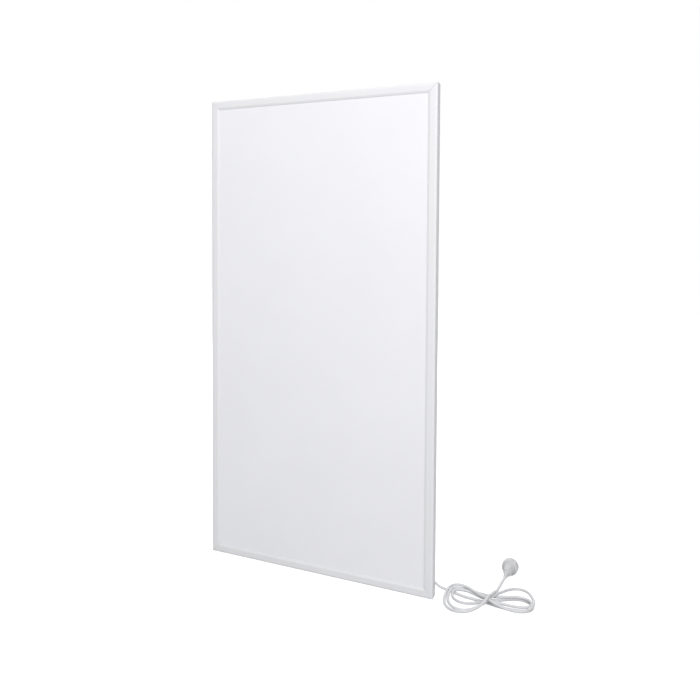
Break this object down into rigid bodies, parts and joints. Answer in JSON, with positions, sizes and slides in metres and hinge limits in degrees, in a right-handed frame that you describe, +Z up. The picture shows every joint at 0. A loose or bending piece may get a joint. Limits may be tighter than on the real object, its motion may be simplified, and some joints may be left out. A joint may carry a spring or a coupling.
{
  "type": "infrared panel heater",
  "caption": "Slim framed flat panel that radiates heat from a film behind its front sheet, with wall hangers, a connection box and a mains flex with an earthed plug.",
  "frame": {"origin": "under the middle of the panel, halfway between the frame's front and the wall face", "axes": "+Z up, +X to the right as seen from the front, +Y towards the wall"},
  "size_m": [0.8245, 0.2868, 1.2],
  "materials": {
    "frame_paint": "fine satin powder coat",
    "sheet_paint": "fine-textured white heat-resistant coat",
    "back_paint": "plain satin coat",
    "key_plastic": "moulded, glass filled",
    "zinc_steel": "zinc plated",
    "film": "laminated carbon film",
    "copper": "bare copper strip",
    "foil": "bright foil",
    "insulation": "pressed mineral wool",
    "aluminium_rivet": "as formed",
    "white_plastic": "fine moulded texture",
    "brass": "plain turned",
    "wire_brown": "extruded wire cover",
    "wire_blue": "extruded wire cover",
    "wire_green": "extruded wire cover, green and yellow",
    "cord_rubber": "soft white flex sheath",
    "plug_plastic": "moulded in one with the flex",
    "plug_metal": "nickel plated"
  },
  "bodies": {
    "root": {"frame_top": "frame_paint", "frame_bottom": "frame_paint", "frame_left": "frame_paint", "frame_right": "frame_paint", "front_sheet": "sheet_paint", "back_plate": "back_paint", "corner_key_top_left": "key_plastic", "corner_key_top_right": "key_plastic", "corner_key_bottom_left": "key_plastic", "corner_key_bottom_right": "key_plastic", "corner_screw_top_left_1": "zinc_steel", "corner_screw_top_left_2": "zinc_steel", "corner_screw_top_right_1": "zinc_steel", "corner_screw_top_right_2": "zinc_steel", "corner_screw_bottom_left_1": "zinc_steel", "corner_screw_bottom_left_2": "zinc_steel", "corner_screw_bottom_right_1": "zinc_steel", "corner_screw_bottom_right_2": "zinc_steel", "heating_film": "film", "bus_bar_left": "copper", "bus_bar_right": "copper", "reflector_foil": "foil", "insulation_board": "insulation", "wall_hanger_top_left": "zinc_steel", "wall_hanger_top_right": "zinc_steel", "wall_hanger_bottom_left": "zinc_steel", "wall_hanger_bottom_right": "zinc_steel", "hanger_rivet_top_left_left": "aluminium_rivet", "hanger_rivet_top_left_right": "aluminium_rivet", "hanger_rivet_top_right_left": "aluminium_rivet", "hanger_rivet_top_right_right": "aluminium_rivet", "hanger_rivet_bottom_left_left": "aluminium_rivet", "hanger_rivet_bottom_left_right": "aluminium_rivet", "hanger_rivet_bottom_right_left": "aluminium_rivet", "hanger_rivet_bottom_right_right": "aluminium_rivet", "junction_box": "white_plastic", "junction_box_lid": "white_plastic", "terminal_block": "white_plastic", "gland_body": "white_plastic", "lid_screw_1": "zinc_steel", "lid_screw_2": "zinc_steel", "box_screw_1": "zinc_steel", "box_screw_2": "zinc_steel", "earth_screw": "brass", "thermal_cutout": "key_plastic", "core_live": "wire_brown", "lead_live_supply": "wire_brown", "lead_live_switched": "wire_brown", "core_neutral": "wire_blue", "lead_neutral": "wire_blue", "core_earth": "wire_green", "strain_relief_boot": "cord_rubber", "flex_inner": "cord_rubber", "cord_lead": "cord_rubber", "cord_hank": "cord_rubber", "cord_tail": "cord_rubber", "plug_body": "plug_plastic", "plug_pin_left": "plug_metal", "plug_pin_right": "plug_metal", "plug_earth_strap": "plug_metal"}
  },
  "joints": []
}
